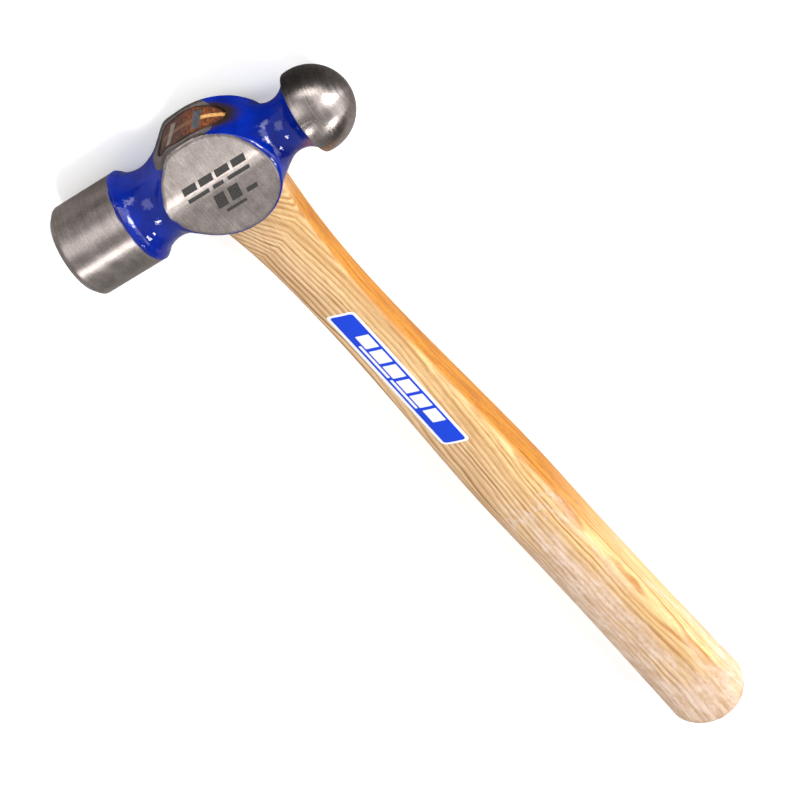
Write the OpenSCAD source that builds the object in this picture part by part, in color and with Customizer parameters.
// Ball peen hammer, 24 ounce head on a wooden handle.
//
// One forged steel head, one wooden handle whose tenon fills the oval eye of the head, one wooden
// wedge along the eye, two steel wedges across it, and a printed label on the handle.
//
// Frame: millimetres. The origin is the centre of the striking face. The head runs along +Y from
// the striking face to the ball. The handle runs along +X from the head to the butt. +Z comes out
// of the upper cheek, so the hammer lies flat as it would on a bench.

/* [Head] */
// Length from striking face to the tip of the ball
head_length = 120; // [118:0.5:123]
// Diameter of the striking end (poll)
poll_diameter = 36.6; // [35.6:0.2:38]
// Length of the straight cylinder of the poll
poll_length = 27; // [25:0.5:28.5]
// Diameter of the flat land inside the bevel of the striking face
face_diameter = 32; // [28:0.5:33]
// Length of the bevel round the striking face
face_bevel = 2.4; // [1.5:0.1:3.5]
// Smallest diameter between poll and eye
poll_neck_diameter = 28.6; // [27.6:0.2:29.4]
// Smallest diameter between eye and ball
ball_neck_diameter = 20.4; // [19:0.2:22]
// Diameter of the ball
ball_diameter = 32.2; // [31:0.2:33.4]
// Thickness across the two flat cheeks
cheek_thickness = 30.4; // [29.6:0.2:31.6]
// How far the upper part of each cheek leans in towards the top of the eye, in degrees
cheek_lean = 15; // [8:0.5:17]
// Diameter of the round middle of the head
middle_diameter = 43; // [42:0.5:44.5]

/* [Eye] */
// Distance of the eye's centre from the striking face
eye_station = 64.5; // [64:0.5:65.5]
// Long way of the eye at its mouths, along the head
eye_long = 30.6; // [27:0.2:31]
// Short way of the eye at its mouths, between the cheeks
eye_short = 15.8; // [14.6:0.2:17]
// How much the long way narrows at the middle of the eye
eye_waist = 2; // [1:0.2:3]

/* [Wedges] */
// Thickness of the wooden wedge at the top
wood_wedge_thick = 2.2; // [1.4:0.1:3]
// How deep the wooden wedge goes into the tenon
wood_wedge_depth = 26; // [22:1:32]
// Length of each steel wedge across the eye
steel_wedge_length = 10.5; // [8:0.5:11.5]
// Thickness of the steel wedge nearer the poll
steel_wedge_a_thick = 2.6; // [1.8:0.1:3.2]
// Thickness of the steel wedge nearer the ball
steel_wedge_b_thick = 3.4; // [2:0.1:3.8]
// How deep the steel wedges go into the tenon
steel_wedge_depth = 19; // [12:1:20]

/* [Handle] */
// Length of the handle beyond the axis of the head
handle_reach = 374; // [320:2:420]
// Half width at the head, along the head axis
mouth_half_width = 15.8; // [15.6:0.1:16.5]
// Half width on the poll side of the mouth, where the handle flares later
mouth_poll_half_width = 15; // [14.9:0.1:15.8]
// Half width at the slim waist
waist_half_width = 12; // [11:0.1:13]
// Half width where the grip begins
palm_half_width = 15.6; // [14.6:0.1:16.4]
// Half width at the butt
butt_half_width = 17.8; // [16.6:0.1:18.6]
// Half thickness at the head
mouth_half_thick = 9.2; // [9:0.1:10]
// Half thickness at the slim waist
waist_half_thick = 8.9; // [8.4:0.1:9.6]
// Half thickness where the grip begins
palm_half_thick = 11.6; // [10.8:0.1:12.2]
// Half thickness at the butt
butt_half_thick = 12.4; // [11.6:0.1:13.2]
// How far the butt is domed
butt_dome = 12; // [6:0.5:14]
// Radius that rolls the broad faces over into the butt
butt_edge = 5; // [3:0.5:6]

/* [Label] */
// Distance of the near end of the label from the head axis
label_start = 78; // [72:1:100]
// Length of the label along the handle
label_length = 82; // [50:1:90]
// Width of the label across the handle
label_width = 10.4; // [8:0.2:12]
// Slant of the label's ends in degrees
label_slant = 21; // [0:1:25]

/* [Hidden] */
round_fn = 120;

poll_r = poll_diameter / 2;
face_r = face_diameter / 2;
ball_r = ball_diameter / 2;
cheek_z = cheek_thickness / 2;
middle_r = middle_diameter / 2;
// The round middle sits slightly towards the free end of the eye.
middle_x = -1;
middle_centre = [0, eye_station];
// Each cheek is flat down to this line along the head, where it turns over a soft ridge and leans in.
ridge_x = -5;
ridge_r = 33;
ridge_from = ridge_x + ridge_r * tan(cheek_lean / 2);
ridge_to = ridge_from - ridge_r * sin(cheek_lean);
ridge_to_z = cheek_z - ridge_r * (1 - cos(cheek_lean));
ridge_steps = 5;
section_reach = 50;

// Poll shoulder: convex round where the cylinder turns into the neck.
shoulder_r = 4;
neck_start = poll_length + shoulder_r / 2;
// Necks: centre and radius of each concave round, as [radius from head axis, station].
poll_neck_round = 12.7;
poll_neck_centre = [poll_neck_diameter / 2 + poll_neck_round, poll_length + 10.6];
ball_neck_round = 9.6;
ball_y = head_length - ball_r;
ball_neck_centre = [ball_neck_diameter / 2 + ball_neck_round, ball_y - 10.9];
// The ball begins here with a crisp rim.
ball_rim_y = ball_y - 2.3;

// The straight flanks touch the neck rounds and the round middle. These are their normals.
poll_flank = flank_angle(poll_neck_centre, poll_neck_round, -1);
ball_flank = flank_angle(ball_neck_centre, ball_neck_round, 1);
poll_neck_edge = on_neck(poll_neck_centre, poll_neck_round, poll_flank);
ball_neck_edge = on_neck(ball_neck_centre, ball_neck_round, ball_flank);

eye_half_long = eye_long / 2;
eye_ratio = eye_short / eye_long;
eye_reach = 30;
// Radius of the gentle arc that narrows the eye by half the waist on each side.
eye_arc = (pow(middle_r, 2) + pow(eye_waist / 2, 2)) / eye_waist;
eye_top = middle_x - middle_r;

wood_wedge_tip = 0.4;
steel_wedge_tip = 0.6;
// Steel wedges: offset from the eye's centre along Y, and how far each was driven askew.
steel_wedge_a_y = -6;
steel_wedge_a_turn = 20;
steel_wedge_b_y = 5;
steel_wedge_b_turn = 9;

mouth_x = 20;
waist_x = 80;
palm_x = 215;
// Stations along the handle, evenly spaced up to the domed butt.
body_from = 8;
body_steps = 24;
// How far the tenon runs on into the grip below the head, so that the two are one solid.
tenon_root = 0.6;
butt_steps = 6;
butt_x = handle_reach - butt_dome;
// The narrow edges and the broad faces are turned about lines beside the handle's own axis.
edge_shift = 7;
face_shift = 45;
// How far the round blank stands outside the edges at the waist and along the grip.
blank_at_waist = 1.4;
blank_at_grip = 0.15;

label_thick = 0.16;
label_y = -2.6;

// ---------- curves ----------

// Direction of the flank's normal, measured from the radius axis: side is 1 for the ball.
function flank_angle(centre, round_r, side) =
    let (d = centre - middle_centre)
    atan2(d.y, d.x) - side * acos((round_r + middle_r) / norm(d));

// Where a flank touches a neck round, and where it touches the round middle.
function on_neck(centre, round_r, angle) = centre - round_r * [cos(angle), sin(angle)];
function on_middle(angle) = middle_centre + middle_r * [cos(angle), sin(angle)];

function ease(t) = t * t * (3 - 2 * t);

// A handle dimension at station x, from its values at mouth, waist, palm and butt. A higher flare
// widens later towards the mouth.
function along(x, mouth, waist, palm, butt, flare = 2) =
    x < waist_x ? waist + (mouth - waist) * pow((waist_x - x) / (waist_x - mouth_x), flare)
    : x < palm_x ? waist + (palm - waist) * ease((x - waist_x) / (palm_x - waist_x))
    : palm + (butt - palm) * pow((x - palm_x) / (handle_reach - palm_x), 2);

function half_width(x) =
    along(x, mouth_half_width, waist_half_width, palm_half_width, butt_half_width);
function poll_half_width(x) =
    along(x, mouth_poll_half_width, waist_half_width, palm_half_width, butt_half_width, 3);
function half_thick(x) =
    along(x, mouth_half_thick, waist_half_thick, palm_half_thick, butt_half_thick);
function blank_r(x) =
    half_width(x) + along(x, blank_at_waist, blank_at_waist, blank_at_grip, blank_at_grip);

// Stations of the plain handle, from inside the head to where the butt begins to round.
body_x = [for (i = [0:body_steps]) body_from + (butt_x - body_from) * i / body_steps];

// ---------- shared forms ----------

// Turns a half profile about the head axis: x is the radius, y the station.
module turned_about_y() {
    rotate([-90, 0, 0]) rotate_extrude($fn = round_fn) children();
}

// Turns a half profile about a line parallel to the handle: x is the radius, y the station.
module turned_about_x(shift_y = 0, shift_z = 0) {
    translate([0, eye_station + shift_y, shift_z])
        rotate([0, 90, 0]) rotate_extrude($fn = round_fn) children();
}

// Upright cylinder of the round middle.
module middle_cylinder() {
    translate([middle_x, eye_station, 0])
        cylinder(r = middle_r, h = 80, center = true, $fn = round_fn);
}

// The oval column that fills the eye: slimmest half way through, wide at both mouths.
module eye_column() {
    translate([middle_x, eye_station, 0])
        scale([1, 1, eye_ratio])
            rotate([0, 90, 0])
                rotate_extrude($fn = round_fn)
                    difference() {
                        translate([0, -eye_reach]) square([eye_half_long + 1, 2 * eye_reach]);
                        translate([eye_half_long - eye_waist / 2 + eye_arc, 0])
                            circle(r = eye_arc, $fn = 4 * round_fn);
                    }
}

// ---------- head ----------

// Bare cylinder of the poll with its bevelled striking face.
module poll_profile() {
    polygon([
        [0, 0],
        [face_r, 0],
        [poll_r, face_bevel],
        [poll_r, poll_length],
        [0, poll_length]
    ]);
}

// Rounded shoulder of the poll and the neck behind it.
module poll_neck_profile() {
    intersection() {
        translate([poll_r - shoulder_r, poll_length]) circle(r = shoulder_r, $fn = round_fn);
        translate([0, poll_length - 1]) square([poll_r, 2 * shoulder_r]);
    }
    translate([0, poll_length - 1]) square([poll_r - shoulder_r, shoulder_r]);
    difference() {
        translate([0, neck_start]) square([poll_r - 0.4, poll_neck_edge.y - neck_start]);
        translate(poll_neck_centre) circle(r = poll_neck_round, $fn = round_fn);
    }
}

// Neck beside the ball.
module ball_neck_profile() {
    difference() {
        translate([0, ball_neck_edge.y]) square([ball_r, ball_rim_y - ball_neck_edge.y]);
        translate(ball_neck_centre) circle(r = ball_neck_round, $fn = round_fn);
    }
}

module ball_profile() {
    intersection() {
        translate([0, ball_y]) circle(r = ball_r, $fn = round_fn);
        translate([0, ball_rim_y]) square([ball_r + 1, ball_r * 2]);
    }
}

// Flanks that widen from both necks to the round middle.
module flank_profile() {
    polygon([
        [0, poll_neck_edge.y],
        poll_neck_edge,
        on_middle(poll_flank),
        on_middle(ball_flank),
        ball_neck_edge,
        [0, ball_neck_edge.y]
    ]);
}

// Outline of the upper cheek across the head, from the handle side to beyond the top: x runs along
// the handle, y out of the cheek.
function cheek_line() = concat(
    [[section_reach, cheek_z]],
    [for (i = [0:ridge_steps])
        let (a = cheek_lean * i / ridge_steps)
        [ridge_from - ridge_r * sin(a), cheek_z - ridge_r * (1 - cos(a))]],
    [[-section_reach, ridge_to_z - (ridge_to + section_reach) * tan(cheek_lean)]]
);

module cheek_section() {
    line = cheek_line();
    last = len(line) - 1;
    polygon(concat(line, [for (i = [0:last]) [line[last - i].x, -line[last - i].y]]));
}

// Everything between the two cheeks.
module between_cheeks() {
    translate([0, head_length, 0])
        rotate([90, 0, 0]) linear_extrude(height = head_length) cheek_section();
}

module head() {
    difference() {
        union() {
            color("gray") turned_about_y() poll_profile();
            color("mediumblue") turned_about_y() poll_neck_profile();
            color("mediumblue")
                intersection() {
                    turned_about_y() flank_profile();
                    between_cheeks();
                }
            color("mediumblue")
                intersection() {
                    middle_cylinder();
                    between_cheeks();
                }
            color("mediumblue") turned_about_y() ball_neck_profile();
            color("gray") turned_about_y() ball_profile();
        }
        eye_column();
    }
}

// ---------- wedges ----------

// Tapered plate driven in from the top of the eye: thick at the top, thin at its tip.
module wedge_blank(thick, tip, depth, length) {
    rotate([90, 0, 0])
        linear_extrude(height = length, center = true)
            polygon([
                [eye_top - 2, thick / 2],
                [eye_top + depth, tip / 2],
                [eye_top + depth, -tip / 2],
                [eye_top - 2, -thick / 2]
            ]);
}

module wood_wedge_blank() {
    translate([0, eye_station, 0])
        wedge_blank(wood_wedge_thick, wood_wedge_tip, wood_wedge_depth, 2 * eye_long);
}

module steel_wedge_blank(thick, offset_y, turn) {
    translate([0, eye_station + offset_y, 0])
        rotate([90 + turn, 0, 0])
            wedge_blank(thick, steel_wedge_tip, steel_wedge_depth, steel_wedge_length);
}

module steel_blank_a() {
    steel_wedge_blank(steel_wedge_a_thick, steel_wedge_a_y, steel_wedge_a_turn);
}

module steel_blank_b() {
    steel_wedge_blank(steel_wedge_b_thick, steel_wedge_b_y, steel_wedge_b_turn);
}

module wood_wedge() {
    color("peru")
        difference() {
            intersection() {
                wood_wedge_blank();
                eye_column();
                middle_cylinder();
            }
            steel_blank_a();
            steel_blank_b();
        }
}

module steel_wedge_a() {
    color("dimgray")
        intersection() {
            steel_blank_a();
            middle_cylinder();
        }
}

module steel_wedge_b() {
    color("dimgray")
        intersection() {
            steel_blank_b();
            middle_cylinder();
        }
}

// ---------- handle ----------

// Half profile of one side of the handle, for turning about a line at distance shift. It rolls in
// by the radius roll at the butt.
module side_profile(sizes, shift, roll) {
    edge = sizes[len(sizes) - 1] + shift;
    polygon(concat(
        [[0, body_x[0]]],
        [for (i = [0:len(body_x) - 1]) [sizes[i] + shift, body_x[i]]],
        [for (i = [0:butt_steps])
            let (a = 90 * i / butt_steps)
            [edge - roll * (1 - cos(a)), handle_reach - roll * (1 - sin(a))]],
        [[edge - roll, handle_reach + 1]],
        [[0, handle_reach + 1]]
    ));
}

// Round blank with the domed butt.
module blank_profile(extra) {
    end_r = blank_r(butt_x) + extra;
    polygon(concat(
        [[0, body_x[0]]],
        [for (x = body_x) [blank_r(x) + extra, x]],
        [for (i = [1:butt_steps])
            let (a = 90 * i / butt_steps)
            [end_r * cos(a), butt_x + butt_dome * sin(a)]]
    ));
}

// The handle outside the head: two bulged edges, two gently crowned broad faces.
module grip_form(extra = 0) {
    widths = [for (x = body_x) half_width(x) + extra];
    poll_widths = [for (x = body_x) poll_half_width(x) + extra];
    thicks = [for (x = body_x) half_thick(x) + extra];
    intersection() {
        turned_about_x() blank_profile(extra);
        turned_about_x(shift_y = -edge_shift) side_profile(widths, edge_shift, 0);
        turned_about_x(shift_y = edge_shift) side_profile(poll_widths, edge_shift, 0);
        turned_about_x(shift_z = -face_shift) side_profile(thicks, face_shift, butt_edge);
        turned_about_x(shift_z = face_shift) side_profile(thicks, face_shift, butt_edge);
    }
}

// The part of the eye column inside the head, with its root a little way into the grip.
module tenon() {
    intersection() {
        eye_column();
        union() {
            middle_cylinder();
            translate([tenon_root, 0, 0]) middle_cylinder();
        }
    }
}

module handle() {
    color("burlywood")
        difference() {
            union() {
                tenon();
                difference() {
                    grip_form();
                    middle_cylinder();
                }
            }
            wood_wedge_blank();
            steel_blank_a();
            steel_blank_b();
        }
}

// ---------- label ----------

// Slanted panel, seen from above, as a prism through the upper broad face.
module label_prism() {
    lean = label_width * tan(label_slant);
    translate([label_start, eye_station + label_y, 0])
        linear_extrude(height = 2 * palm_half_thick)
            polygon([
                [-lean / 2, -label_width / 2],
                [lean / 2, label_width / 2],
                [label_length + lean / 2, label_width / 2],
                [label_length - lean / 2, -label_width / 2]
            ]);
}

module label() {
    color("royalblue")
        difference() {
            intersection() {
                label_prism();
                grip_form(label_thick);
            }
            grip_form();
        }
}

head();
handle();
wood_wedge();
steel_wedge_a();
steel_wedge_b();
label();
